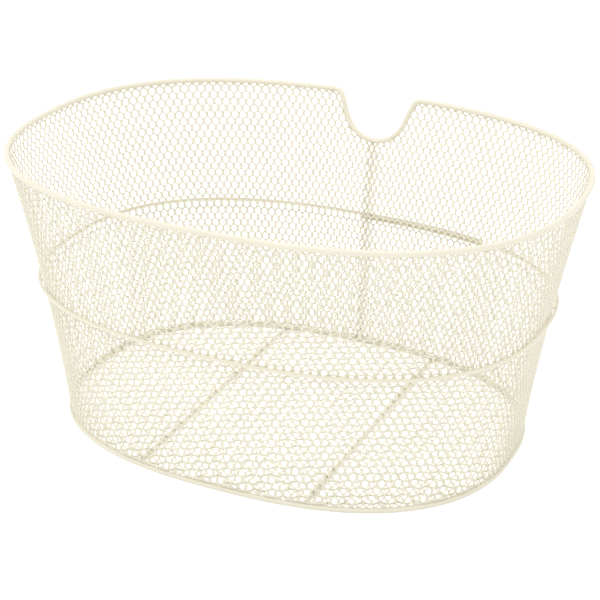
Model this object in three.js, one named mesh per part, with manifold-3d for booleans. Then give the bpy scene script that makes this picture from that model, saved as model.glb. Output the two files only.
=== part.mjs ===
// Handlebar bicycle basket: a tapered oval of honeycomb steel mesh held by five wires.
// The rim wire dips into a U at the back to clear the handlebar stem, a thinner hoop
// girds the wall at half height, and a base ring with two cross wires carries the floor.
// Millimetres, +Z up, +X along the length, the stem notch at the back (+Y).
// The origin is on the ground below the middle of the basket.

import * as THREE from 'three';
import Module from 'manifold-3d';

// Overall sizes, measured over the wires
const RIM_LENGTH = 400;
const RIM_DEPTH = 292;
const HOOP_LENGTH = 364.5;
const HOOP_DEPTH = 264.5;
const BASE_LENGTH = 329.5;
const BASE_DEPTH = 244;
const HEIGHT = 196.5;
const HOOP_HEIGHT = 103;

// The plan is a superellipse: 2 would be an ellipse, and a higher value is boxier
const OVAL_EXPONENT = 2.45;

// Wire diameters
const RIM_WIRE = 4;
const HOOP_WIRE = 2.6;
const BASE_WIRE = 3.5;
const CROSS_WIRE = 2.8;

// Distance between the two wires under the floor
const CROSS_SPACING = 123;

// The hoop's two ends lie on top of each other over this length, right of the back centre
const HOOP_LAP = 95;

// Stem notch, along the middle of the rim wire: the width is between the tops of its shoulders
const NOTCH_WIDTH = 70;
const NOTCH_DEPTH = 34;
const NOTCH_FLOOR_RADIUS = 24.5;
const NOTCH_CORNER_RADIUS = 7;

// Honeycomb sheet: thickness over the twisted strands, strand width and cell counts
const SHEET = 1.6;
const STRAND = 5.4;
const CELL_COLUMNS = 36;
const CELL_ROWS = 9;
const FLOOR_CELL = 28;
const FLOOR_ROW = 24;

// Gap left at each weld between two pieces
const CLEARANCE = 0.3;

// Smoothness of the wires
const WIRE_SIDES = 8;
const RING_STEPS = 2 * CELL_COLUMNS;
const NOTCH_FLOOR_STEPS = 14;
const NOTCH_CORNER_STEPS = 6;
const OVAL_DIVISIONS = 2000;

// Cream powder coat: its colour and its roughness on wires and on sheets
const COAT = 0xf0edda;
const WIRE_ROUGHNESS = 0.35;
const SHEET_ROUGHNESS = 0.45;

// Heights and offsets that follow from the sizes above
const RIM_Z = HEIGHT - RIM_WIRE / 2;
const BASE_Z = BASE_WIRE / 2;
const CROSS_Z = BASE_WIRE - CROSS_WIRE / 2;
const FLOOR_Z = BASE_WIRE + CLEARANCE + SHEET / 2;
const FOOT_Z = FLOOR_Z + SHEET / 2 + CLEARANCE;
const RIM_SEAT = RIM_WIRE / 2 + CLEARANCE;
const TOP_Z = RIM_Z - RIM_SEAT;
const HOOP_OFFSET = SHEET / 2 + CLEARANCE + HOOP_WIRE / 2;

// An oval in plan that starts at the back centre and runs towards -X
class Oval extends THREE.Curve {
  constructor(halfLength, halfDepth) {
    super();
    this.halfLength = halfLength;
    this.halfDepth = halfDepth;
    this.arcLengthDivisions = OVAL_DIVISIONS;
  }

  getPoint(t, target = new THREE.Vector3()) {
    const c = Math.cos(2 * Math.PI * t);
    const s = Math.sin(2 * Math.PI * t);
    const power = 2 / OVAL_EXPONENT;
    const x = -this.halfLength * Math.sign(s) * Math.abs(s) ** power;
    const y = this.halfDepth * Math.sign(c) * Math.abs(c) ** power;
    return target.set(x, y, 0);
  }
}

// Middle of the wall sheet at its foot, at the hoop and at the rim wire above its top edge
function wallRing(z, length, depth, inset) {
  return { z, a: length / 2 - inset, b: depth / 2 - inset };
}
const WALL = [
  wallRing(FOOT_Z, BASE_LENGTH, BASE_DEPTH, BASE_WIRE / 2),
  wallRing(HOOP_HEIGHT, HOOP_LENGTH, HOOP_DEPTH, HOOP_WIRE / 2 + HOOP_OFFSET),
  wallRing(RIM_Z, RIM_LENGTH, RIM_DEPTH, RIM_WIRE / 2),
];
const waist = new Oval(WALL[1].a, WALL[1].b);

// Half length and half depth of the middle of the wall at a height
function wallAxes(z) {
  const low = z < WALL[1].z ? WALL[0] : WALL[1];
  const high = z < WALL[1].z ? WALL[1] : WALL[2];
  const t = (z - low.z) / (high.z - low.z);
  const a = THREE.MathUtils.lerp(low.a, high.a, t);
  const b = THREE.MathUtils.lerp(low.b, high.b, t);
  return { a, b };
}

// Point of the wall at a share of the way round, counted from the back centre,
// and at a distance outside the middle of the sheet
function wallPoint(share, z, offset) {
  const { a, b } = wallAxes(z);
  const t = waist.getUtoTmapping(share - Math.floor(share));
  return new Oval(a + offset, b + offset).getPoint(t).setZ(z);
}

// Point of the back of the wall above a given x
function backPoint(x, z) {
  const { a, b } = wallAxes(z);
  const y = b * (1 - Math.abs(x / a) ** OVAL_EXPONENT) ** (1 / OVAL_EXPONENT);
  return new THREE.Vector3(x, y, z);
}

// Horizontal outward direction of an oval with the given half axes
function outward(point, a, b) {
  const power = OVAL_EXPONENT - 1;
  const x = Math.sign(point.x) * Math.abs(point.x / a) ** power / a;
  const y = Math.sign(point.y) * Math.abs(point.y / b) ** power / b;
  return new THREE.Vector3(x, y, 0).normalize();
}

function solidGeometry(positions, triangles) {
  const geometry = new THREE.BufferGeometry();
  geometry.setAttribute('position', new THREE.Float32BufferAttribute(positions, 3));
  geometry.setIndex(triangles);
  geometry.computeVertexNormals();
  return geometry;
}

// Octagonal wire bent along a path; flats face up, down, in and out.
// A closed wire runs into itself and an open one gets two end faces.
function bentWire(path, normals, diameter, closed) {
  const reach = diameter / 2 / Math.cos(Math.PI / WIRE_SIDES);
  const count = path.length;
  const positions = [];
  const triangles = [];
  path.forEach((point, i) => {
    const ahead = closed ? (i + 1) % count : Math.min(i + 1, count - 1);
    const behind = closed ? (i + count - 1) % count : Math.max(i - 1, 0);
    const tangent = path[ahead].clone().sub(path[behind]).normalize();
    const out = normals[i].clone().addScaledVector(tangent, -tangent.dot(normals[i])).normalize();
    const across = tangent.clone().cross(out);
    for (let k = 0; k < WIRE_SIDES; k++) {
      const angle = (k + 0.5) * 2 * Math.PI / WIRE_SIDES;
      const corner = point.clone().addScaledVector(out, reach * Math.cos(angle));
      corner.addScaledVector(across, reach * Math.sin(angle));
      positions.push(...corner.toArray());
    }
    if (ahead === i) return;
    for (let k = 0; k < WIRE_SIDES; k++) {
      const l = (k + 1) % WIRE_SIDES;
      const p = i * WIRE_SIDES + k;
      const q = i * WIRE_SIDES + l;
      const r = ahead * WIRE_SIDES + l;
      const s = ahead * WIRE_SIDES + k;
      triangles.push(p, r, s, p, q, r);
    }
  });
  const last = (count - 1) * WIRE_SIDES;
  for (let k = 1; k < WIRE_SIDES - 1 && !closed; k++) {
    triangles.push(0, k + 1, k, last, last + k, last + k + 1);
  }
  return solidGeometry(positions, triangles);
}

// Point of an oval after a number of steps round it, counted from the back centre.
// The steps are those of the columns of the wall, so wires and wall turn together.
function ringPoint(oval, step, z) {
  const share = (step + 0.5) / RING_STEPS;
  return oval.getPoint(waist.getUtoTmapping(share - Math.floor(share))).setZ(z);
}

function baseRing() {
  const oval = new Oval((BASE_LENGTH - BASE_WIRE) / 2, (BASE_DEPTH - BASE_WIRE) / 2);
  const path = [];
  for (let i = 0; i < RING_STEPS; i++) {
    path.push(ringPoint(oval, i, BASE_Z));
  }
  const normals = path.map((point) => outward(point, oval.halfLength, oval.halfDepth));
  return bentWire(path, normals, BASE_WIRE, true);
}

// The hoop starts at the right of the back, goes once round and dives under its own start
function middleHoop() {
  const oval = new Oval((HOOP_LENGTH - HOOP_WIRE) / 2, (HOOP_DEPTH - HOOP_WIRE) / 2);
  const lapSteps = Math.ceil(HOOP_LAP * RING_STEPS / oval.getLength());
  const path = [];
  for (let i = -lapSteps; i <= RING_STEPS; i++) {
    const dive = i >= RING_STEPS - lapSteps - 1 ? HOOP_WIRE + CLEARANCE : 0;
    path.push(ringPoint(oval, i, HOOP_HEIGHT - dive));
  }
  const normals = path.map((point) => outward(point, oval.halfLength, oval.halfDepth));
  return bentWire(path, normals, HOOP_WIRE, false);
}

// The notch seen from the front: rounded shoulders, slanted sides and a round floor.
// Each side is the line that touches a shoulder arc and the floor arc.
// The notch gets wider and deeper by the distance grow.
function notchOutline(grow) {
  const half = NOTCH_WIDTH / 2;
  const shoulder = Math.min(NOTCH_CORNER_RADIUS, NOTCH_DEPTH / 2);
  const widest = (half ** 2 + NOTCH_DEPTH ** 2) / (2 * NOTCH_DEPTH) - shoulder;
  const round = Math.min(NOTCH_FLOOR_RADIUS, widest);
  const rise = NOTCH_DEPTH - round - shoulder;
  const touch = Math.asin(Math.min((round + shoulder) / Math.hypot(half, rise), 1));
  const side = Math.PI / 2 - touch - Math.atan2(rise, half);
  const up = Math.PI / 2;
  const bend = shoulder - grow;
  const bendZ = RIM_Z - shoulder;
  const bowl = round + grow;
  const bowlZ = RIM_Z - NOTCH_DEPTH + round;
  const left = new THREE.EllipseCurve(-half, bendZ, bend, bend, up, side, true);
  const floor = new THREE.EllipseCurve(0, bowlZ, bowl, bowl, Math.PI + side, 2 * Math.PI - side);
  const right = new THREE.EllipseCurve(half, bendZ, bend, bend, Math.PI - side, up, true);
  return [
    ...left.getPoints(NOTCH_CORNER_STEPS),
    ...floor.getPoints(NOTCH_FLOOR_STEPS),
    ...right.getPoints(NOTCH_CORNER_STEPS),
  ];
}

// The rim sits on the top edge of the wall round the front and on the notch at the back
function rimWire() {
  const { a, b } = wallAxes(RIM_Z);
  const oval = new Oval(a, b);
  const outline = notchOutline(0);
  const edge = outline.at(-1).x;
  const path = [];
  for (let i = 0; i < RING_STEPS; i++) {
    const point = ringPoint(oval, i, RIM_Z);
    if (point.y < 0 || Math.abs(point.x) > edge + RIM_WIRE / 2) {
      path.push(point);
    }
  }
  for (const { x, y } of outline.toReversed()) {
    path.push(backPoint(x, y));
  }
  const normals = path.map((point) => {
    const axes = wallAxes(point.z);
    return outward(point, axes.a, axes.b);
  });
  return bentWire(path, normals, RIM_WIRE, true);
}

// Corners of the opening in a cell: every side moves inwards by half a strand
function openingCorners(cell) {
  const count = cell.length;
  const normals = cell.map((p, k) => {
    const q = cell[(k + 1) % count];
    return new THREE.Vector2(p.y - q.y, q.x - p.x).normalize();
  });
  return cell.map((p, k) => {
    const before = normals[(k + count - 1) % count];
    const sum = before.clone().add(normals[k]);
    return p.clone().addScaledVector(sum, STRAND / 2 / (1 + before.dot(normals[k])));
  });
}

// Honeycomb sheet of upright hexagons on a flat strip, cut through the middle of the cells
// at its top and bottom edge. place(x, y, side) bends the strip: side is 1 on the outer
// ridge of the strands, -1 on the inner ridge and 0 on their edges.
function honeycomb(halfColumns, rows, pitch, row, place) {
  const positions = [];
  const triangles = [];
  const ridges = new Map();
  const edges = new Map();

  function vertex(x, y, side) {
    positions.push(...place(x, y, side).toArray());
    return positions.length / 3 - 1;
  }

  function ridge(point) {
    const key = `${Math.round(point.x * 2 / pitch)}/${Math.round(point.y * 6 / row)}`;
    if (!ridges.has(key)) {
      ridges.set(key, [vertex(point.x, point.y, 1), vertex(point.x, point.y, -1)]);
    }
    return ridges.get(key);
  }

  for (let j = 0; j <= rows; j++) {
    const shift = j % 2;
    for (let i = -1 + shift; i < halfColumns; i += 2) {
      const left = Math.max(i, 0) * pitch / 2;
      const middle = (i + 1) * pitch / 2;
      const right = Math.min(i + 2, halfColumns) * pitch / 2;
      const low = Math.max(j - 1 / 3, 0) * row;
      const high = Math.min(j + 1 / 3, rows) * row;
      const cell = [];
      if (middle > left) cell.push([left, low]);
      if (j > 0) cell.push([middle, (j - 2 / 3) * row]);
      else if (middle === left || middle === right) cell.push([middle, 0]);
      if (right > middle) cell.push([right, low], [right, high]);
      if (j < rows) cell.push([middle, (j + 2 / 3) * row]);
      else if (middle === left || middle === right) cell.push([middle, rows * row]);
      if (middle > left) cell.push([left, high]);
      const corners = cell.map(([x, y]) => new THREE.Vector2(x, y));
      const outer = corners.map(ridge);
      const inner = openingCorners(corners).map(({ x, y }) => vertex(x, y, 0));
      corners.forEach((corner, k) => {
        const l = (k + 1) % corners.length;
        const [p, q] = outer[k];
        const [r, s] = outer[l];
        triangles.push(p, r, inner[l], p, inner[l], inner[k]);
        triangles.push(s, q, inner[k], s, inner[k], inner[l]);
        if (!edges.delete(`${r}/${p}`)) {
          edges.set(`${p}/${r}`, [p, q, r, s]);
        }
      });
    }
  }
  for (const [p, q, r, s] of edges.values()) {
    triangles.push(p, q, s, p, s, r);
  }
  return solidGeometry(positions, triangles);
}

const wasm = await Module();
wasm.setup();

function toSolid(geometry) {
  const vertProperties = new Float32Array(geometry.getAttribute('position').array);
  const triVerts = new Uint32Array(geometry.getIndex().array);
  return new wasm.Manifold(new wasm.Mesh({ numProp: 3, vertProperties, triVerts }));
}

// The largest connected piece of a cut sheet, without the strand ends that fell off
function toGeometry(solid) {
  const pieces = solid.decompose().sort((p, q) => q.volume() - p.volume());
  const mesh = pieces[0].getMesh();
  return solidGeometry(Array.from(mesh.vertProperties), Array.from(mesh.triVerts));
}

// A prism with the given outline, with its end faces at two distances along its axis
function prism(points, from, to) {
  const positions = [];
  const triangles = [];
  const count = points.length;
  for (const depth of [from, to]) {
    points.forEach(({ x, y }) => positions.push(x, y, depth));
  }
  for (const [p, q, r] of THREE.ShapeUtils.triangulateShape(points, [])) {
    triangles.push(r, q, p, p + count, q + count, r + count);
  }
  points.forEach((point, k) => {
    const l = (k + 1) % count;
    triangles.push(k, l, l + count, k, l + count, k + count);
  });
  return solidGeometry(positions, triangles);
}

// The wall is one strip: its end laps behind its start at the back centre.
// The shift by a quarter cell puts the middle of the lap there.
function wallMesh() {
  const halfColumns = 2 * CELL_COLUMNS + 1;
  const pitch = waist.getLength() / CELL_COLUMNS;
  const height = TOP_Z - FOOT_Z;
  const lapStart = CELL_COLUMNS * pitch;
  const sheet = honeycomb(halfColumns, CELL_ROWS, pitch, height / CELL_ROWS, (x, y, side) => {
    const step = THREE.MathUtils.clamp((x - lapStart) * 2 / pitch + 1, 0, 1) * (SHEET + CLEARANCE);
    const share = (x / pitch - 0.25) / CELL_COLUMNS;
    return wallPoint(share, FOOT_Z + y, side * SHEET / 2 - step);
  });
  const outline = notchOutline(RIM_SEAT);
  const above = new THREE.Vector2(outline.at(-1).x, HEIGHT);
  const opening = [...outline, above, new THREE.Vector2(-above.x, HEIGHT)];
  const cutter = prism(opening, -RIM_DEPTH, 0).rotateX(Math.PI / 2);
  return toGeometry(toSolid(sheet).subtract(toSolid(cutter)));
}

// The floor is a flat sheet cut to the oval of the base ring, below the foot of the wall.
// Its rows of cells run from front to back.
function floorMesh() {
  const a = (BASE_LENGTH - BASE_WIRE + SHEET) / 2;
  const b = (BASE_DEPTH - BASE_WIRE + SHEET) / 2;
  const columns = Math.ceil(b / FLOOR_CELL) + 1;
  const rows = 2 * Math.ceil(a / FLOOR_ROW) + 2;
  const sheet = honeycomb(4 * columns, rows, FLOOR_CELL, FLOOR_ROW, (x, y, side) => {
    const z = FLOOR_Z + side * SHEET / 2;
    return new THREE.Vector3(rows * FLOOR_ROW / 2 - y, x - columns * FLOOR_CELL, z);
  });
  const oval = new Oval(a, b);
  const outline = [];
  for (let i = 0; i < RING_STEPS; i++) {
    const { x, y } = oval.getPointAt(i / RING_STEPS);
    outline.push(new THREE.Vector2(x, y));
  }
  const cutter = prism(outline, FLOOR_Z - SHEET, FLOOR_Z + SHEET);
  return toGeometry(toSolid(sheet).intersect(toSolid(cutter)));
}

// A straight wire under the floor, from the front of the base ring to its back
function crossWire() {
  const a = BASE_LENGTH / 2 - BASE_WIRE - CLEARANCE;
  const b = BASE_DEPTH / 2 - BASE_WIRE - CLEARANCE;
  const far = (CROSS_SPACING + CROSS_WIRE) / 2;
  const half = b * (1 - (far / a) ** OVAL_EXPONENT) ** (1 / OVAL_EXPONENT);
  const reach = CROSS_WIRE / 2 / Math.cos(Math.PI / WIRE_SIDES);
  const wire = new THREE.CylinderGeometry(reach, reach, 2 * half, WIRE_SIDES);
  return wire.rotateY(Math.PI / WIRE_SIDES);
}

const basket = new THREE.Group();

function add(name, geometry, roughness) {
  const material = new THREE.MeshStandardMaterial({ color: COAT, roughness, metalness: 0 });
  const mesh = new THREE.Mesh(geometry, material);
  mesh.name = name;
  basket.add(mesh);
  return mesh;
}

add('rim_wire', rimWire(), WIRE_ROUGHNESS);
add('middle_hoop', middleHoop(), WIRE_ROUGHNESS);
add('base_ring', baseRing(), WIRE_ROUGHNESS);
add('base_cross_wire_left', crossWire(), WIRE_ROUGHNESS).position.set(-CROSS_SPACING / 2, 0, CROSS_Z);
add('base_cross_wire_right', crossWire(), WIRE_ROUGHNESS).position.set(CROSS_SPACING / 2, 0, CROSS_Z);
add('wall_mesh', wallMesh(), SHEET_ROUGHNESS);
add('base_mesh', floorMesh(), SHEET_ROUGHNESS);

export default basket;
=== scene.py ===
# %% [markdown]
# # A handlebar bicycle basket
# The basket is a tapered oval tub of honeycomb steel mesh. Five steel wires hold it in shape: a thick
# rim that dips at the back to clear the handlebar stem, a thinner hoop round the middle, a ring round
# the floor and two cross wires under it. Everything is welded first and then powder coated in cream.
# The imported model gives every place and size. Its mesh has few, large cells, because it serves the
# physics, so each piece is worked out again here as a fine surface in the same place, in metres.

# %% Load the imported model
import math

import bpy
import numpy as np
from mathutils import Matrix, Vector


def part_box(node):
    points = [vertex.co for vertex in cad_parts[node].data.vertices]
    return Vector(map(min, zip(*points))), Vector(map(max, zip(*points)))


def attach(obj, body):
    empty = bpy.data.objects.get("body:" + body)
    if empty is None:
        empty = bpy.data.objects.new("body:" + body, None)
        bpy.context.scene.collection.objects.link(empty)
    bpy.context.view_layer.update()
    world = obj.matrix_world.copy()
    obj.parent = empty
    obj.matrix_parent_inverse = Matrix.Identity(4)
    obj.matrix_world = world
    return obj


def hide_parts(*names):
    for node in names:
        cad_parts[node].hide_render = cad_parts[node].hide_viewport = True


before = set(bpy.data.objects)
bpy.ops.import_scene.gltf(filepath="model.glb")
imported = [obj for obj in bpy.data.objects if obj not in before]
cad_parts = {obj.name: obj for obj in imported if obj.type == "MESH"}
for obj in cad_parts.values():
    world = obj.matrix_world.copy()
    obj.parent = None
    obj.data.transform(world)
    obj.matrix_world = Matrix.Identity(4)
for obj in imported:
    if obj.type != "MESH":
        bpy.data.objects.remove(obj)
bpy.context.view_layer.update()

# %% [markdown]
# ## The camera
# A product photographer stands back and uses a long lens, so that the near end of the basket doesn't
# look swollen. The camera could be aimed with a constraint, but its three axes are easy to write down:
# one points back at the photographer, one to the right and one up. The optical centre lies above the
# middle of the picture, as it does when a picture is trimmed, and the camera's shift puts it there.

# %% Camera
YAW = math.radians(25.67)
PITCH = math.radians(24.14)
DISTANCE = 1.167
LOOK_HEIGHT = 0.1129
LENS_MM = 101.2
SENSOR_MM = 36.0
IMAGE_PIXELS = 600
OPTICAL_CENTRE = (294.4, 266.3)

level = math.cos(PITCH)
back = np.array([math.sin(YAW) * level, -math.cos(YAW) * level, math.sin(PITCH)])
right = np.array([math.cos(YAW), math.sin(YAW), 0.0])
up = np.cross(back, right)
eye = back * DISTANCE + np.array([0.0, 0.0, LOOK_HEIGHT])

scene = bpy.context.scene
camera = bpy.data.objects.new("camera", bpy.data.cameras.new("camera"))
scene.collection.objects.link(camera)
camera.matrix_world = Matrix(np.column_stack([right, up, back, eye]).tolist() + [[0, 0, 0, 1]])
camera.data.lens = LENS_MM
camera.data.sensor_width = SENSOR_MM
camera.data.shift_x = 0.5 - OPTICAL_CENTRE[0] / IMAGE_PIXELS
camera.data.shift_y = OPTICAL_CENTRE[1] / IMAGE_PIXELS - 0.5
scene.camera = camera
scene.view_settings.view_transform = "Standard"
print("camera at", np.round(eye, 3).tolist())

# %% [markdown]
# ## A white sky
# A pale object on a white ground needs soft light from all round, or its thin strands drown in their
# own shadows, and a white sky gives most of it. The sky has to look pure white, but as a lamp of that
# strength it would make the palest strands clip. The light path node tells the two apart: rays that
# see the sky get full white, and rays that carry its light to the basket get a little less.

# %% Sky
SKY = 0.93


def seen_directly(nodes, links):
    """1 for rays of the camera, of reflections and of clear glass, and 0 for rays that carry light."""
    path = nodes.new("ShaderNodeLightPath")
    either = nodes.new("ShaderNodeMath")
    either.operation = "MAXIMUM"
    links.new(path.outputs["Is Camera Ray"], either.inputs[0])
    links.new(path.outputs["Is Glossy Ray"], either.inputs[1])
    whole = nodes.new("ShaderNodeMath")
    whole.operation = "MAXIMUM"
    links.new(either.outputs[0], whole.inputs[0])
    links.new(path.outputs["Is Transmission Ray"], whole.inputs[1])
    return whole.outputs[0]


def ranged(nodes, links, value, low, high):
    """A value from 0 to 1, spread over low to high."""
    spread = nodes.new("ShaderNodeMapRange")
    spread.inputs["To Min"].default_value = low
    spread.inputs["To Max"].default_value = high
    links.new(value, spread.inputs["Value"])
    return spread.outputs["Result"]


world = bpy.data.worlds.new("white_sky")
world.use_nodes = True
scene.world = world
sky_nodes, sky_links = world.node_tree.nodes, world.node_tree.links
sky = sky_nodes["Background"]
sky.inputs["Color"].default_value = (1, 1, 1, 1)
sky_strength = ranged(sky_nodes, sky_links, seen_directly(sky_nodes, sky_links), SKY, 1.0)
sky_links.new(sky_strength, sky.inputs["Strength"])
print("the sky lights at", SKY)

# %% [markdown]
# ## The ground
# A large sheet of matt white paper carries the basket and throws much of the sky's light back up under
# the wires. A little light of its own, seen only by the camera and in reflections, keeps the ground
# clean while the faint shadow under the wires stays.

# %% Studio floor
FLOOR_WHITE = 0.96
FLOOR_GLOW = 0.4
FLOOR_HALF = 8.0

paper = bpy.data.materials.new("white_paper")
paper.use_nodes = True
paper_nodes, paper_links = paper.node_tree.nodes, paper.node_tree.links
paper_shader = paper_nodes["Principled BSDF"]
paper_shader.inputs["Base Color"].default_value = (FLOOR_WHITE, FLOOR_WHITE, FLOOR_WHITE, 1)
paper_shader.inputs["Roughness"].default_value = 1.0
paper_shader.inputs["Specular IOR Level"].default_value = 0.0
paper_shader.inputs["Emission Color"].default_value = (1, 1, 1, 1)
glow = ranged(paper_nodes, paper_links, seen_directly(paper_nodes, paper_links), 0.0, FLOOR_GLOW)
paper_links.new(glow, paper_shader.inputs["Emission Strength"])

floor_mesh = bpy.data.meshes.new("studio_floor")
floor_corners = np.array([[-1, -1, 0], [1, -1, 0], [1, 1, 0], [-1, 1, 0]]) * FLOOR_HALF
floor_mesh.from_pydata(floor_corners.tolist(), [], [(0, 1, 2, 3)])
floor_mesh.materials.append(paper)
studio_floor = bpy.data.objects.new("studio_floor", floor_mesh)
scene.collection.objects.link(studio_floor)
print("ground", 2 * FLOOR_HALF, "m wide, white", FLOOR_WHITE, "glow", FLOOR_GLOW)

# %% [markdown]
# ## Two soft lamps
# One large lamp overhead shines into the mouth of the basket, because the inside would be darker than
# the outside without it. A weak one at the left keeps the two ends apart. Both are wide, because a
# small lamp would draw a hard shadow of every strand.

# %% Lamps
def soft_lamp(name, place, size, watts):
    """A square lamp that faces the middle of the basket."""
    lamp = bpy.data.objects.new(name, bpy.data.lights.new(name, "AREA"))
    lamp.data.size = size
    lamp.data.energy = watts
    lamp.location = place
    aim = Vector((0, 0, LOOK_HEIGHT)) - Vector(place)
    lamp.rotation_euler = aim.to_track_quat("-Z", "Y").to_euler()
    scene.collection.objects.link(lamp)
    print(name, "at", place, "with", watts, "W")


soft_lamp("lamp_overhead", place=(-0.1, -0.4, 2.3), size=1.6, watts=11)
soft_lamp("lamp_left", place=(-2.0, -0.6, 0.8), size=1.4, watts=2)

# %% [markdown]
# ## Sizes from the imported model
# The wall joins three ovals: above the base ring, inside the hoop and below the rim. The boxes of the
# packed wires give their sizes, once half a wire is taken off, and for the hoop its distance from the
# wall. The rim's box is cut short at the back by the stem notch, so the front gives the depth. A
# parabola through the three sizes gives the wall its gentle flare.

# %% Heights and flare
RIM_WIRE = 0.004
HOOP_WIRE = 0.0026
SHEET = 0.0016
WELD_GAP = 0.0003

rim_low, rim_high = (np.array(corner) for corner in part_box("rim_wire"))
hoop_low, hoop_high = (np.array(corner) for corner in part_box("middle_hoop"))
base_low, base_high = (np.array(corner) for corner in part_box("base_ring"))
wall_low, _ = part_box("wall_mesh")
RIM_Z = rim_high[2] - RIM_WIRE / 2
HOOP_Z = hoop_high[2] - HOOP_WIRE / 2
FOOT_Z = wall_low[2]
BASE_WIRE = base_high[2] - base_low[2]
HOOP_OFFSET = SHEET / 2 + WELD_GAP + HOOP_WIRE / 2

insets = np.array([BASE_WIRE / 2, HOOP_WIRE / 2 + HOOP_OFFSET, RIM_WIRE / 2])
half_lengths = np.array([base_high[0], hoop_high[0], rim_high[0]]) - insets
half_depths = -np.array([base_low[1], hoop_low[1], rim_low[1]]) - insets
heights = np.array([FOOT_Z, HOOP_Z, RIM_Z])
length_curve = np.polyfit(heights, half_lengths, 2)
depth_curve = np.polyfit(heights, half_depths, 2)


def wall_axes(z, offset):
    """Half length and half depth of the wall at a height, moved outwards by an offset."""
    return np.polyval(length_curve, z) + offset, np.polyval(depth_curve, z) + offset


print("heights", np.round(heights, 4).tolist(), "half lengths", np.round(half_lengths, 4).tolist())

# %% [markdown]
# ## Walking round the oval
# Seen from above, the basket is a superellipse, fuller than an ellipse and softer than a rounded
# rectangle. Equal steps of its angle aren't equal steps along it, and the mesh needs equal steps. So
# numpy adds up the length of the hoop's oval once, in a table, and the table is read backwards: from a
# share of the way round to the angle.

# %% Oval
OVAL_EXPONENT = 2.45
TABLE_STEPS = 40000


def oval_point(half_length, half_depth, angle):
    """|x / a|^n + |y / b|^n = 1, by an angle that starts at the back centre and turns towards -X."""
    sine, cosine = np.sin(angle), np.cos(angle)
    x = -half_length * np.sign(sine) * np.abs(sine) ** (2 / OVAL_EXPONENT)
    y = half_depth * np.sign(cosine) * np.abs(cosine) ** (2 / OVAL_EXPONENT)
    return x, y


table_angle = np.linspace(0, 2 * np.pi, TABLE_STEPS + 1)
table_x, table_y = oval_point(half_lengths[1], half_depths[1], table_angle)
table_length = np.append(0, np.cumsum(np.hypot(np.diff(table_x), np.diff(table_y))))
GIRTH = table_length[-1]


def share_angle(share):
    """Angle of the oval after a share of the way round, counted from the back centre."""
    return np.interp(share % 1, table_length / GIRTH, table_angle)


print("girth at the hoop", round(GIRTH, 4))

# %% [markdown]
# ## Points on the wall
# Most pieces ask for a point by the share of the way round and a height. The notch at the back is
# drawn in x and z, so there the oval's formula is solved for y instead. A wire also needs to know which
# way is outwards along its path, and that is the slope of the formula.

# %% Points on the wall
def unit(vectors):
    """Each row made one unit long."""
    return vectors / np.linalg.norm(vectors, axis=-1, keepdims=True)


def wall_point(share, z, offset):
    """Point of the wall at a share of the way round, a height and an offset outwards."""
    x, y = oval_point(*wall_axes(z, offset), share_angle(share))
    return np.stack([x, y, z + 0 * x], axis=-1)


def back_point(x, z, offset):
    """Point of the back of the wall above a given x: the oval solved for y."""
    half_length, half_depth = wall_axes(z, offset)
    y = half_depth * (1 - np.abs(x / half_length) ** OVAL_EXPONENT) ** (1 / OVAL_EXPONENT)
    return np.stack([x, y, z], axis=-1)


def outward(points, offset):
    """Horizontal outward direction: the slope of |x / a|^n + |y / b|^n."""
    half_length, half_depth = wall_axes(points[:, 2], offset)
    x, y = points[:, 0], points[:, 1]
    slope_x = np.sign(x) * np.abs(x / half_length) ** (OVAL_EXPONENT - 1) / half_length
    slope_y = np.sign(y) * np.abs(y / half_depth) ** (OVAL_EXPONENT - 1) / half_depth
    return unit(np.stack([slope_x, slope_y, 0 * slope_x], axis=-1))


print("back and front of the rim at", np.round(wall_point(np.array([0, 0.5]), RIM_Z, 0), 4).tolist())

# %% [markdown]
# ## Powder coat
# The finish is a cream powder that is melted on to the steel. It is satin, slightly cloudy in tone, and
# its surface has the fine unevenness that coaters call orange peel. A flat colour would look like
# plastic, so slow noise drifts between two creams, fine noise lifts the surface a few hundredths of a
# millimetre, and a third noise varies the gloss. The bonds of the mesh, where the strands meet, get
# painted shade: the pieces carry a value of their own there that mixes in a deeper tone, standing in
# for the shade on the thick, steep bonds.

# %% Powder coat materials
CLOUD_SCALE = 45.0
CLOUD_DETAIL = 3
CLOUD_EDGES = (0.35, 0.65)
PEEL_SCALE = 700.0
PEEL_HEIGHT = 0.00004
GLOSS_SCALE = 180.0
FINE_DETAIL = 2


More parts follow.
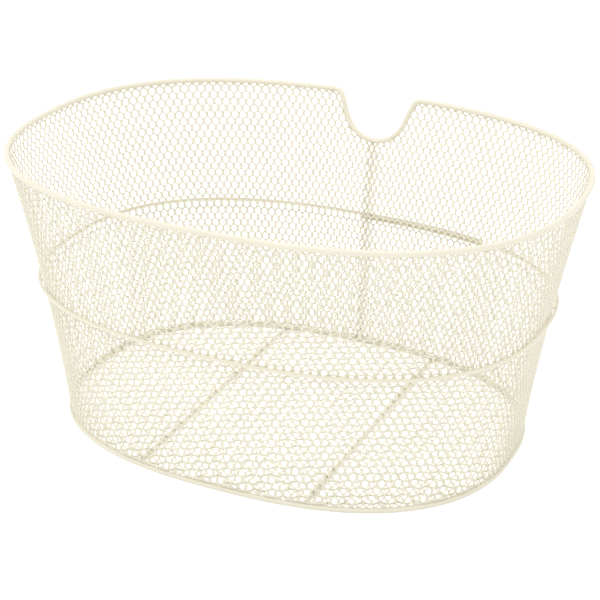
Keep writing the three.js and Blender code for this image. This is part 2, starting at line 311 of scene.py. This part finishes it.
def powder_coat(name, deep, pale, bond_shade, glossy, dull):
    """Cream coat: noise from deep to pale, painted shade at the bonds by attribute, peel bump and
    uneven gloss.
    """
    material = bpy.data.materials.new(name)
    material.use_nodes = True
    nodes, links = material.node_tree.nodes, material.node_tree.links
    shader = nodes["Principled BSDF"]
    place = nodes.new("ShaderNodeTexCoord").outputs["Object"]

    def noise(scale, detail):
        texture = nodes.new("ShaderNodeTexNoise")
        texture.inputs["Scale"].default_value = scale
        texture.inputs["Detail"].default_value = detail
        links.new(place, texture.inputs["Vector"])
        return texture.outputs["Fac"]

    cloud = nodes.new("ShaderNodeValToRGB")
    stops = cloud.color_ramp.elements
    stops[0].position, stops[1].position = CLOUD_EDGES
    stops[0].color, stops[1].color = (*deep, 1), (*pale, 1)
    links.new(noise(CLOUD_SCALE, CLOUD_DETAIL), cloud.inputs["Fac"])

    # Painted shade: the bond value mixes a deeper tone in at the bonds of the mesh.
    bond_shade_mask = nodes.new("ShaderNodeAttribute")
    bond_shade_mask.attribute_name = "bond_shade"
    tone = nodes.new("ShaderNodeMix")
    tone.data_type = "RGBA"
    links.new(bond_shade_mask.outputs["Fac"], tone.inputs["Factor"])
    links.new(cloud.outputs["Color"], tone.inputs["A"])
    tone.inputs["B"].default_value = (*bond_shade, 1)
    links.new(tone.outputs["Result"], shader.inputs["Base Color"])

    peel = nodes.new("ShaderNodeBump")
    peel.inputs["Distance"].default_value = PEEL_HEIGHT
    links.new(noise(PEEL_SCALE, FINE_DETAIL), peel.inputs["Height"])
    links.new(peel.outputs["Normal"], shader.inputs["Normal"])
    gloss = ranged(nodes, links, noise(GLOSS_SCALE, FINE_DETAIL), glossy, dull)
    links.new(gloss, shader.inputs["Roughness"])
    return material


# The bond colours are painted shade. Only the mesh pieces carry a bond value, so the wires' bond colour
# never shows.
coats = {
    "wire_coat": powder_coat("wire_coat", deep=(0.86, 0.815, 0.672), pale=(0.88, 0.838, 0.698),
                             bond_shade=(0.85, 0.8, 0.655), glossy=0.28, dull=0.42),
    "mesh_coat": powder_coat("mesh_coat", deep=(0.92, 0.882, 0.735), pale=(0.94, 0.905, 0.765),
                             bond_shade=(0.9, 0.855, 0.7), glossy=0.36, dull=0.5),
}
print("coats:", ", ".join(coats))

# %% [markdown]
# ## From arrays to pieces
# A mesh could be built face by face, but that is slow for hundreds of thousands of faces. foreach_set
# copies whole arrays instead: the points, the corners of all faces in one row, and where in that row
# each face starts.

# %% Piece maker
def add_piece(name, slot, points, *faces, node=None, bond_shade=None):
    """Puts points and one or more arrays of faces, each with its own corner count, into a mesh."""
    mesh = bpy.data.meshes.new(name)
    sizes = np.concatenate([np.full(len(rows), rows.shape[1]) for rows in faces])
    corners = np.concatenate([rows.ravel() for rows in faces])
    mesh.vertices.add(len(points))
    mesh.vertices.foreach_set("co", np.asarray(points, np.float32).ravel())
    mesh.loops.add(len(corners))
    mesh.loops.foreach_set("vertex_index", corners.astype(np.int32))
    mesh.polygons.add(len(sizes))
    mesh.polygons.foreach_set("loop_start", (np.cumsum(sizes) - sizes).astype(np.int32))
    mesh.update(calc_edges=True)
    mesh.shade_smooth()
    mesh.materials.append(coats[slot])
    # Painted shade at the bonds: the mesh pieces pass its share per point, the other pieces get zero.
    bond_shade_mask = mesh.attributes.new("bond_shade", "FLOAT", "POINT")
    bond_shade_mask.data.foreach_set("value", np.zeros(len(points), np.float32) if bond_shade is None else bond_shade)
    piece = bpy.data.objects.new(name, mesh)
    scene.collection.objects.link(piece)
    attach(piece, "root")
    if node:
        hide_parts(node)
    print(name, len(points), "points", int((sizes - 2).sum()), "triangles")


# %% [markdown]
# ## Bent round wire
# All the wires are drawn steel rod, bent on a former. A curve with a bevel would do, but a circle of
# points carried along a path is only a few lines of numpy and keeps the joint of a closed loop exact.
# Each circle stands square to the path: its first direction is the outward one with its part along the
# path taken off, and its second is square to both. A cut end gets a low dome, as the coat rounds it.

# %% Wire maker
WIRE_SIDES = 16
DOME_HEIGHT = 0.35
DOME_ANGLES = np.radians([25, 50, 70])


def bent_wire(name, path, out, diameter, closed, node):
    """Circles of radius r along a path p: p + r cos(k) out + r sin(k) across, joined by quads."""
    radius = np.full(len(path), diameter / 2)
    if closed:
        tangent = unit(np.roll(path, -1, axis=0) - np.roll(path, 1, axis=0))
    else:
        tangent = unit(np.gradient(path, axis=0))
        height = DOME_HEIGHT * diameter / 2 * np.sin(DOME_ANGLES)[:, None]
        start, end = path[:1] - tangent[:1] * height[::-1], path[-1:] + tangent[-1:] * height
        path = np.concatenate([start, path, end])
        dome = np.cos(DOME_ANGLES) * diameter / 2
        radius = np.concatenate([dome[::-1], radius, dome])
        more = len(DOME_ANGLES)
        tangent = np.pad(tangent, ((more, more), (0, 0)), mode="edge")
        out = np.pad(out, ((more, more), (0, 0)), mode="edge")
    out = unit(out - tangent * (out * tangent).sum(axis=1, keepdims=True))
    across = np.cross(tangent, out)
    turn = np.linspace(0, 2 * np.pi, WIRE_SIDES, endpoint=False)[None, :, None]
    circle = np.cos(turn) * out[:, None] + np.sin(turn) * across[:, None]
    points = (path[:, None] + radius[:, None, None] * circle).reshape(-1, 3)

    rows = len(path)
    i = np.arange(rows if closed else rows - 1)[:, None]
    k = np.arange(WIRE_SIDES)[None, :]
    ahead, beside = (i + 1) % rows, (k + 1) % WIRE_SIDES
    quads = np.stack([i * WIRE_SIDES + k, i * WIRE_SIDES + beside,
                      ahead * WIRE_SIDES + beside, ahead * WIRE_SIDES + k], axis=-1)
    faces = [quads.reshape(-1, 4)]
    if not closed:
        first = np.arange(WIRE_SIDES)
        faces.append(np.stack([first[::-1], first + (rows - 1) * WIRE_SIDES]))
    add_piece(name, "wire_coat", points, *faces, node=node)


# %% [markdown]
# ## The stem notch
# The rim dips at the back, so that the basket can sit close to the handlebar stem. Seen from the front,
# the notch is three arcs: a round shoulder, a round floor and the other shoulder. The slanted sides are
# the lines that touch two arcs, and their angle follows from the distance between the arcs' centres.

# %% Stem notch
NOTCH_WIDTH = 0.07
SHOULDER_RADIUS = 0.007
NOTCH_RADIUS = 0.0245
NOTCH_STEPS = 130

notch_depth = RIM_Z - (rim_low[2] + RIM_WIRE / 2)
notch_half = NOTCH_WIDTH / 2
rise = notch_depth - NOTCH_RADIUS - SHOULDER_RADIUS
touch = math.asin((NOTCH_RADIUS + SHOULDER_RADIUS) / math.hypot(notch_half, rise))
slant = math.pi / 2 - touch - math.atan2(rise, notch_half)


def arc(x, z, radius, start, end):
    """Points of a circle about (x, z) from one angle to another."""
    angle = np.linspace(start, end, NOTCH_STEPS)
    return np.stack([x + radius * np.cos(angle), z + radius * np.sin(angle)], axis=-1)


arcs = np.concatenate([
    arc(-notch_half, RIM_Z - SHOULDER_RADIUS, SHOULDER_RADIUS, math.pi / 2, slant),
    arc(0, RIM_Z - notch_depth + NOTCH_RADIUS, NOTCH_RADIUS, math.pi + slant, 2 * math.pi - slant),
    arc(notch_half, RIM_Z - SHOULDER_RADIUS, SHOULDER_RADIUS, math.pi - slant, math.pi / 2),
])
walked = np.append(0, np.cumsum(np.hypot(*np.diff(arcs, axis=0).T)))
even = np.linspace(0, walked[-1], NOTCH_STEPS)
notch = np.stack([np.interp(even, walked, arcs[:, axis]) for axis in (0, 1)], axis=-1)
print("notch depth", round(notch_depth, 4), "slant in degrees", round(math.degrees(slant), 1))

# %% [markdown]
# ## The rim
# The thickest wire goes round the mouth. Its path starts at one shoulder of the notch, follows the oval
# round the front to the other shoulder, and comes back along the outline of the notch, which is laid
# on the back of the wall.

# %% Rim wire
RIM_STEPS = 420

quarter = TABLE_STEPS // 4
rim_x, _ = oval_point(*wall_axes(RIM_Z, 0), table_angle[:quarter])
shoulder_share = np.interp(notch_half, -rim_x, table_length[:quarter]) / GIRTH
rim_share = np.linspace(shoulder_share, 1 - shoulder_share, RIM_STEPS)[1:-1]
rim_path = np.concatenate([
    wall_point(rim_share, RIM_Z, 0),
    back_point(notch[::-1, 0], notch[::-1, 1], 0),
])
bent_wire("rim_wire_coated", rim_path, outward(rim_path, 0), RIM_WIRE, closed=True, node="rim_wire")

# %% [markdown]
# ## The middle hoop
# A thinner wire girds the outside of the wall. Its two ends lie one on the other at the back, right of
# the seam, and are welded along that lap. So its path goes a little more than once round, and the last
# stretch dives by one wire's height under the first. The dive is the smooth step 3 d^2 - 2 d^3, which
# starts and ends level.

# %% Middle hoop
HOOP_LAP = 0.095
PAST_CENTRE = 0.006
DIVE_LENGTH = 0.018
HOOP_STEPS = 460

hoop_drop = hoop_high[2] - hoop_low[2] - HOOP_WIRE
lap_share = HOOP_LAP / GIRTH
hoop_share = np.linspace(-lap_share, 1 + PAST_CENTRE, HOOP_STEPS)
dive = np.clip((hoop_share - 1 + lap_share) * GIRTH / DIVE_LENGTH + 1, 0, 1)
hoop_path = wall_point(hoop_share, HOOP_Z, HOOP_OFFSET)
hoop_path[:, 2] = HOOP_Z - hoop_drop * dive ** 2 * (3 - 2 * dive)
hoop_out = outward(hoop_path, HOOP_OFFSET)
bent_wire("middle_hoop_coated", hoop_path, hoop_out, HOOP_WIRE, closed=False, node="middle_hoop")

# %% [markdown]
# ## Base ring and cross wires
# The basket stands on a ring of wire. Two straight wires cross it from front to back and carry the
# floor mesh. They are cut to length and welded between the two sides of the ring, level with its top.

# %% Base ring and cross wires
BASE_STEPS = 400
CROSS_STEPS = 24
X_AXIS, Y_AXIS, Z_AXIS = np.eye(3)

base_share = np.linspace(0, 1, BASE_STEPS, endpoint=False)
base_x, base_y = oval_point(half_lengths[0], half_depths[0], share_angle(base_share))
base_path = np.stack([base_x, base_y, np.full(BASE_STEPS, BASE_WIRE / 2)], axis=-1)
base_out = outward(base_path, 0)
bent_wire("base_ring_coated", base_path, base_out, BASE_WIRE, closed=True, node="base_ring")

cross_ends = []
for cross_wire in ("base_cross_wire_left", "base_cross_wire_right"):
    low, high = (np.array(corner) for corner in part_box(cross_wire))
    cross_path = np.tile((low + high) / 2, (CROSS_STEPS, 1))
    cross_path[:, 1] = np.linspace(low[1], high[1], CROSS_STEPS)
    upwards = np.tile(Z_AXIS, (CROSS_STEPS, 1))
    thick = high[0] - low[0]
    bent_wire(f"{cross_wire}_coated", cross_path, upwards, thick, closed=False, node=cross_wire)
    cross_ends += [cross_path[0], cross_path[-1]]

# %% [markdown]
# ## Honeycomb mesh
# The mesh is expanded steel: a sheet is slit in staggered rows and pulled until the slits open into
# six-sided cells. Where two slits overlap, a thick bond stays, and the thin strands between the bonds
# twist a little. An array of instances would need thousands of objects, so the whole sheet is one
# mesh on a grid of whole numbers. A quarter of a cell's width is one step across, a sixth of a row is
# one step up, and every cell is a ring of twelve points on that grid round an oval hole. Neighbours
# share their ring points, which stand out on both faces of the sheet as the ridge of a strand. The
# points of the hole lie between the faces, so each strand has four sides. The strands are a little
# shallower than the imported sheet, because deep ones close the holes when the wall is seen at a slant.

# %% Honeycomb maker
RING_X = np.array([2, 2, 1, 0, -1, -2, -2, -2, -1, 0, 1, 2])
RING_Y = np.array([0, 2, 3, 4, 3, 2, 0, -2, -3, -4, -3, -2])
BOND_CORNERS = [0, 6]
BOND_SHADE_ON_HOLE = 0.5
BOND_SHADE_FADE = 4
ACROSS = 4
UPWARD = 6
TWIST = 0.35
EDGE_STRAND = 0.6
STRAND_DEPTH = 0.0012


def cell_centres(columns, rows):
    """Centres of the cells on the whole-number grid: every second row is moved by half a cell."""
    column, row = np.meshgrid(np.arange(columns), rows)
    return (ACROSS * column + ACROSS // 2 * (row % 2)).ravel(), (UPWARD * row).ravel()


def border_triangles(ring, count):
    """Closes the cut edge of the sheet: ring edges that no neighbour walks the other way."""
    start, end = ring.ravel(), np.roll(ring, -1, axis=1).ravel()
    alone = ~np.isin(start * count + end, end * count + start) & (start != end)
    start, end = start[alone], end[alone]
    return np.concatenate([np.stack(corners, axis=-1) for corners in (
        (end, start, start + count), (end, start + count, end + count))])


def honeycomb(centre_x, centre_y, hole, low, high):
    """Ring points c + ring, holes c + (h1 cos k, h2 sin k), and triangles between them on both faces.

    Returns grid coordinates, how far each point is towards the outer face (1) or the inner (-1),
    the share of painted shade at the bonds and the triangles. Cells at the low and high edge are cut
    off there.
    """
    turn = np.arange(len(RING_X)) * 2 * np.pi / len(RING_X)
    ring_x = centre_x[:, None] + RING_X
    ring_y = np.clip(centre_y[:, None] + RING_Y, low, high)
    hole_x = centre_x[:, None] + hole[0] * np.cos(turn)
    hole_y = np.clip(centre_y[:, None] + hole[1] * np.sin(turn), low + EDGE_STRAND, high - EDGE_STRAND)
    stride = int(high - low + 1)
    keys, ring = np.unique(ring_x * stride + ring_y - low, return_inverse=True)
    ring = ring.reshape(ring_x.shape)
    count = len(keys)
    shared_x, shared_y = keys // stride, keys % stride + low

    # Painted shade mask: full on the bond corners of the ring, half on the hole points beside them, and
    # fading round the hole.
    ring_bond_shade = np.zeros(count)
    ring_bond_shade[ring[:, BOND_CORNERS]] = 1.0
    hole_bond_shade = np.tile(np.abs(np.cos(turn)) ** BOND_SHADE_FADE * BOND_SHADE_ON_HOLE, len(centre_x))
    hole_face = np.tile(-TWIST * np.sin(turn), len(centre_x))
    x = np.concatenate([shared_x, shared_x, hole_x.ravel()])
    y = np.concatenate([shared_y, shared_y, hole_y.ravel()])
    face = np.concatenate([np.ones(count), -np.ones(count), hole_face])
    bond_shade = np.concatenate([ring_bond_shade, ring_bond_shade, hole_bond_shade])

    inner = 2 * count + np.arange(hole_x.size).reshape(hole_x.shape)
    ahead, inner_ahead = np.roll(ring, -1, axis=1), np.roll(inner, -1, axis=1)
    triangles = [np.stack(corners, axis=-1).reshape(-1, 3) for corners in (
        (ring, ahead, inner_ahead), (ring, inner_ahead, inner),
        (ahead + count, ring + count, inner), (ahead + count, inner, inner_ahead))]
    triangles = np.concatenate([*triangles, border_triangles(ring, count)])
    flat = np.any(triangles == np.roll(triangles, 1, axis=1), axis=1)
    return x, y, face, bond_shade, triangles[~flat]


# %% [markdown]
# ## The strip and its seam
# One strip of mesh is rolled into the wall and its end is lapped inside its start at the back, below
# the notch. The strip isn't a whole number of cells round, so the two layers of the lap are out of
# step and show as a dark, beaded line. Near the seam the cells are a little narrower, because the ends
# of the strip were stretched less: the columns get denser there by a bell-shaped share, and a table
# turns columns into places. The top edge of the strip is hidden in the rim wire and its foot in the
# base ring.

# %% Strip and seam
STRIP_CELLS = 180
HALF_CELL = 0.5
COLUMNS_ROUND = 178.8
SEAM_DENSER = 0.22
SEAM_SPREAD = 0.035
WALL_ROWS = 39

TOP_Z = RIM_Z - RIM_WIRE / 4
BOTTOM_Z = BASE_WIRE * 3 / 4
lap_columns = STRIP_CELLS + HALF_CELL - COLUMNS_ROUND
to_seam = GIRTH - table_length
from_seam = np.arctan(table_length / SEAM_SPREAD) - np.arctan(to_seam / SEAM_SPREAD)
table_column = table_length + SEAM_DENSER * SEAM_SPREAD * from_seam
table_column = (table_column - table_column[0]) / np.ptp(table_column)


def wall_place(x, y, face):
    """Grid to wall: columns by the table from the seam, and the end of the strip steps inwards."""
    column = x / ACROSS + HALF_CELL
    z = BOTTOM_Z + (TOP_Z - BOTTOM_Z) * y / (UPWARD * WALL_ROWS)
    step = np.clip(column - COLUMNS_ROUND + 1, 0, 1) * (SHEET + WELD_GAP)
    offset = face * STRAND_DEPTH / 2 - step
    turns = (column - lap_columns / 2) / COLUMNS_ROUND
    share = np.interp(turns % 1, table_column, table_length / GIRTH)
    return wall_point(share, z, offset), offset


print("the strip laps by", round(lap_columns, 2), "cells")

# %% [markdown]
# ## Trimming along the notch
# On the real basket the mesh is cut along the notch and welded to the rim there. A boolean cut would
# leave slivers, so the cells themselves are changed: a cell whose middle lies in the notch is dropped,
# and points that reach into it are pulled back to the nearest point of the outline, inside the rim
# wire.

# %% Notch trim
SEARCH_WIDTH = 1.5
SEARCH_DEPTH = 1.3

notch_along = unit(np.gradient(notch, axis=0))
notch_away = np.stack([notch_along[:, 1], -notch_along[:, 0]], axis=-1)


def in_notch(x, z):
    """True for a point of the back that lies above the outline of the notch."""
    return (np.abs(x) < notch_half) & (z > np.interp(x, notch[:, 0], notch[:, 1]))


def keep_out_of_notch(points, margin, offset):
    """Points nearer to the notch than a margin go to the outline's nearest point plus that margin."""
    wide, deep = SEARCH_WIDTH * notch_half, SEARCH_DEPTH * notch_depth
    near = (points[:, 1] > 0) & (np.abs(points[:, 0]) < wide) & (points[:, 2] > RIM_Z - deep)
    here = np.flatnonzero(near)
    apart = points[here][:, None, [0, 2]] - notch[None]
    nearest = np.argmin((apart ** 2).sum(axis=2), axis=1)
    beyond = (apart[np.arange(len(here)), nearest] * notch_away[nearest]).sum(axis=1)
    moved = here[beyond < margin[here]]
    spot = nearest[beyond < margin[here]]
    place = notch[spot] + notch_away[spot] * margin[moved, None]
    points[moved] = back_point(place[:, 0], np.minimum(place[:, 1], RIM_Z), offset[moved])
    return points


print("cells within", round(SEARCH_WIDTH * notch_half, 4), "of the middle are trimmed to the notch")

# %% [markdown]
# ## The wall
# The wall is made as an upper and a lower half, because one piece would be too heavy to hand on. Ring
# points may lie on the outline of the notch, and points of a hole stay a little inside it, so that a
# cut strand keeps some width.

# %% Wall mesh
LOWER_ROWS = 20
WALL_HOLE = (1.42, 3.1)
EDGE_INSIDE = 0.0006

wall_top = UPWARD * WALL_ROWS
halves = {"lower": np.arange(LOWER_ROWS), "upper": np.arange(LOWER_ROWS, WALL_ROWS + 1)}
for half, rows in halves.items():
    centre_x, centre_y = cell_centres(STRIP_CELLS, rows)
    centres, _ = wall_place(centre_x, centre_y, 0 * centre_x)
    kept = (centres[:, 1] < 0) | ~in_notch(centres[:, 0], centres[:, 2])
    x, y, face, bond_shade, triangles = honeycomb(centre_x[kept], centre_y[kept], WALL_HOLE, 0, wall_top)
    points, offset = wall_place(x, y, face)
    margin = np.where(np.abs(face) == 1, 0, EDGE_INSIDE)
    points = keep_out_of_notch(points, margin, offset)
    add_piece(f"wall_mesh_{half}", "mesh_coat", points, triangles, node="wall_mesh", bond_shade=bond_shade)

# %% [markdown]
# ## The floor
# The floor is a flat piece of a mesh with larger cells, cut to the oval of the base ring and welded on
# top of the ring and the cross wires. Its rows run from front to back, so the grid is turned by a
# quarter. Cells with their middle inside the oval stay, and points that stick out are drawn in towards
# the centre until they lie on the oval.

# %% Floor mesh
FLOOR_CELL = 0.0105
FLOOR_ROW = 0.01
FLOOR_HOLE = (1.68, 3.45)

floor_low, floor_high = (np.array(corner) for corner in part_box("base_mesh"))
floor_z = (floor_low[2] + floor_high[2]) / 2
floor_columns = 2 * math.ceil(floor_high[1] / FLOOR_CELL) + 1
floor_rows = 2 * math.ceil(floor_high[0] / FLOOR_ROW) + 1


def floor_place(x, y):
    """Grid to floor: a quarter turn, with whole cells counted from the middle."""
    return (floor_rows // 2 - y / UPWARD) * FLOOR_ROW, (x / ACROSS - floor_columns / 2) * FLOOR_CELL


def reach(x, y, inset):
    """1 on the floor's oval, less inside it: (|x / a|^n + |y / b|^n)^(1 / n)."""
    across = np.abs(x / (floor_high[0] - inset)) ** OVAL_EXPONENT
    along = np.abs(y / (floor_high[1] - inset)) ** OVAL_EXPONENT
    return (across + along) ** (1 / OVAL_EXPONENT)


centre_x, centre_y = cell_centres(floor_columns, np.arange(floor_rows))
kept = reach(*floor_place(centre_x, centre_y), 0) < 1
x, y, face, bond_shade, triangles = honeycomb(
    centre_x[kept], centre_y[kept], FLOOR_HOLE, -UPWARD, UPWARD * (floor_rows + 1))
floor_x, floor_y = floor_place(x, y)
excess = np.maximum(reach(floor_x, floor_y, np.where(np.abs(face) == 1, 0, EDGE_INSIDE)), 1)
points = np.stack([floor_x / excess, floor_y / excess, floor_z + face * STRAND_DEPTH / 2], axis=-1)
add_piece("base_mesh_fine", "mesh_coat", points, triangles, node="base_mesh", bond_shade=bond_shade)

# %% [markdown]
# ## Weld beads
# Resistance welds hold the mesh to the wires at short, even distances and leave small flat beads. They
# sit half hidden between wire and mesh, so a low ball with a few dozen faces is enough for each. All
# the beads are one mesh: the ball's points are worked out once, stretched, turned and moved to every
# place by whole arrays.

# %% Bead maker
BEAD_RINGS = 3
BEAD_SIDES = 8
BEAD_POINTS = 2 + BEAD_RINGS * BEAD_SIDES


def weld_beads(centres, along, across, size):
    """Balls p = centre + s1 x along + s2 y across + s3 z up, each with a point at both poles."""
    height = np.cos(np.linspace(0, np.pi, BEAD_RINGS + 2))[1:-1, None]
    turn = np.linspace(0, 2 * np.pi, BEAD_SIDES, endpoint=False)
    wide = np.sqrt(1 - height ** 2)
    ball = np.stack([wide * np.cos(turn), wide * np.sin(turn), height + 0 * turn], axis=-1)
    ball = np.concatenate([[[0, 0, 1]], ball.reshape(-1, 3), [[0, 0, -1]]]) * size
    axes = np.stack([along, across, np.cross(along, across)], axis=1)
    return (centres[:, None] + np.einsum("pk,nkc->npc", ball, axes)).reshape(-1, 3)


def bead_triangles(count):
    """The ball's triangles, repeated for a number of balls."""
    k = np.arange(BEAD_SIDES)
    beside = (k + 1) % BEAD_SIDES
    last = BEAD_POINTS - 1
    rows = 1 + BEAD_SIDES * np.arange(BEAD_RINGS - 1)[:, None]
    a, b, c, d = rows + k, rows + BEAD_SIDES + k, rows + BEAD_SIDES + beside, rows + beside
    one = np.concatenate([
        np.stack([0 * k, 1 + k, 1 + beside], axis=-1),
        np.stack([a, b, c], axis=-1).reshape(-1, 3),
        np.stack([a, c, d], axis=-1).reshape(-1, 3),
        np.stack([0 * k + last, last - BEAD_SIDES + beside, last - BEAD_SIDES + k], axis=-1),
    ])
    return (one[None] + BEAD_POINTS * np.arange(count)[:, None, None]).reshape(-1, 3)


print("one bead has", BEAD_POINTS, "points and", len(bead_triangles(1)), "triangles")

# %% [markdown]
# ## Where the welds are
# Rows of beads join the mesh to the hoop, the rim and the base ring. A bead at each end of a cross wire
# joins it to the ring, and three long ones close the lap of the hoop. Beads of the rim's row that would
# hang in the notch are left out. Each size is the half length along the wire, the half width across
# and the half height.

# %% Welds
MESH_WELDS = 44
HOOP_BEAD = (0.0016, 0.0009, 0.001)
RIM_BEAD = (0.002, 0.0012, 0.0008)
FOOT_BEAD = (0.0018, 0.0011, 0.0016)
CROSS_BEAD = (0.0026, 0.0016, 0.0013)
LAP_BEAD = (0.0035, 0.0011, 0.0016)
BEAD_SHIFT = 0.0004
NOTCH_CLEAR = 0.002
LAP_END_WELD = 0.004
LAP_WELDS = np.array([-0.5, -0.97])

weld_share = (np.arange(MESH_WELDS) + 0.5) / MESH_WELDS
weld_sets = []
for z, offset, size in ((HOOP_Z, SHEET / 2, HOOP_BEAD),
                        (RIM_Z - RIM_WIRE / 2, 0.0, RIM_BEAD),
                        (FOOT_Z - BEAD_SHIFT, 0.0, FOOT_BEAD)):
    spots = wall_point(weld_share, z, offset)
    at_back = spots[:, 1] > 0
    spots = spots[~in_notch(spots[:, 0], np.where(at_back, spots[:, 2] + NOTCH_CLEAR, 0))]
    out = outward(spots, offset)
    weld_sets.append(weld_beads(spots, np.cross(out, Z_AXIS), out, size))

end_spots = np.array(cross_ends)
end_spots[:, 1] += np.sign(end_spots[:, 1]) * BEAD_SHIFT
lengthwise, crosswise = (np.tile(axis, (len(end_spots), 1)) for axis in (X_AXIS, Y_AXIS))
weld_sets.append(weld_beads(end_spots, lengthwise, crosswise, CROSS_BEAD))

lap_weld_share = np.append(LAP_END_WELD, LAP_WELDS * lap_share)
lap_spots = wall_point(lap_weld_share, HOOP_Z - hoop_drop / 2, HOOP_OFFSET)
lap_out = outward(lap_spots, HOOP_OFFSET)
weld_sets.append(weld_beads(lap_spots, np.cross(lap_out, Z_AXIS), lap_out, LAP_BEAD))
beads = np.concatenate(weld_sets)
add_piece("weld_beads", "wire_coat", beads, bead_triangles(len(beads) // BEAD_POINTS))
